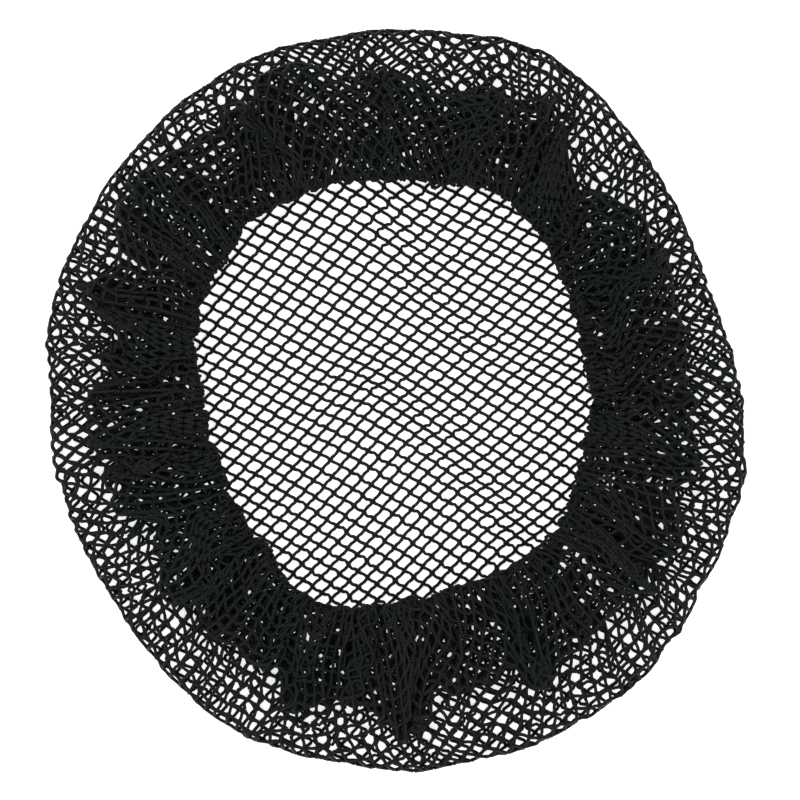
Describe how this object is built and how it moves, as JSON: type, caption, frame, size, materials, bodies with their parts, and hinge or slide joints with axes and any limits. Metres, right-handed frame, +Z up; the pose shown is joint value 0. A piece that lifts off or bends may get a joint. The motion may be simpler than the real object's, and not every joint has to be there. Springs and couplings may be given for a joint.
{
  "type": "hairnet",
  "caption": "Coarse black knitted hairnet lying flat with its mouth up: a round net bag with a flat crown, folded side and edge gathered on an elastic cord.",
  "frame": {"origin": "on the surface the hairnet lies on, under the middle of its bounding box", "axes": "+Z up out of the mouth, +Y along the longer way across the bag, +X to its right"},
  "size_m": [0.2386, 0.2528, 0.0227],
  "materials": {
    "net_thread": "matte",
    "elastic": "matte"
  },
  "bodies": {
    "root": {"net_bag": "net_thread", "elastic_cord": "elastic"}
  },
  "joints": []
}
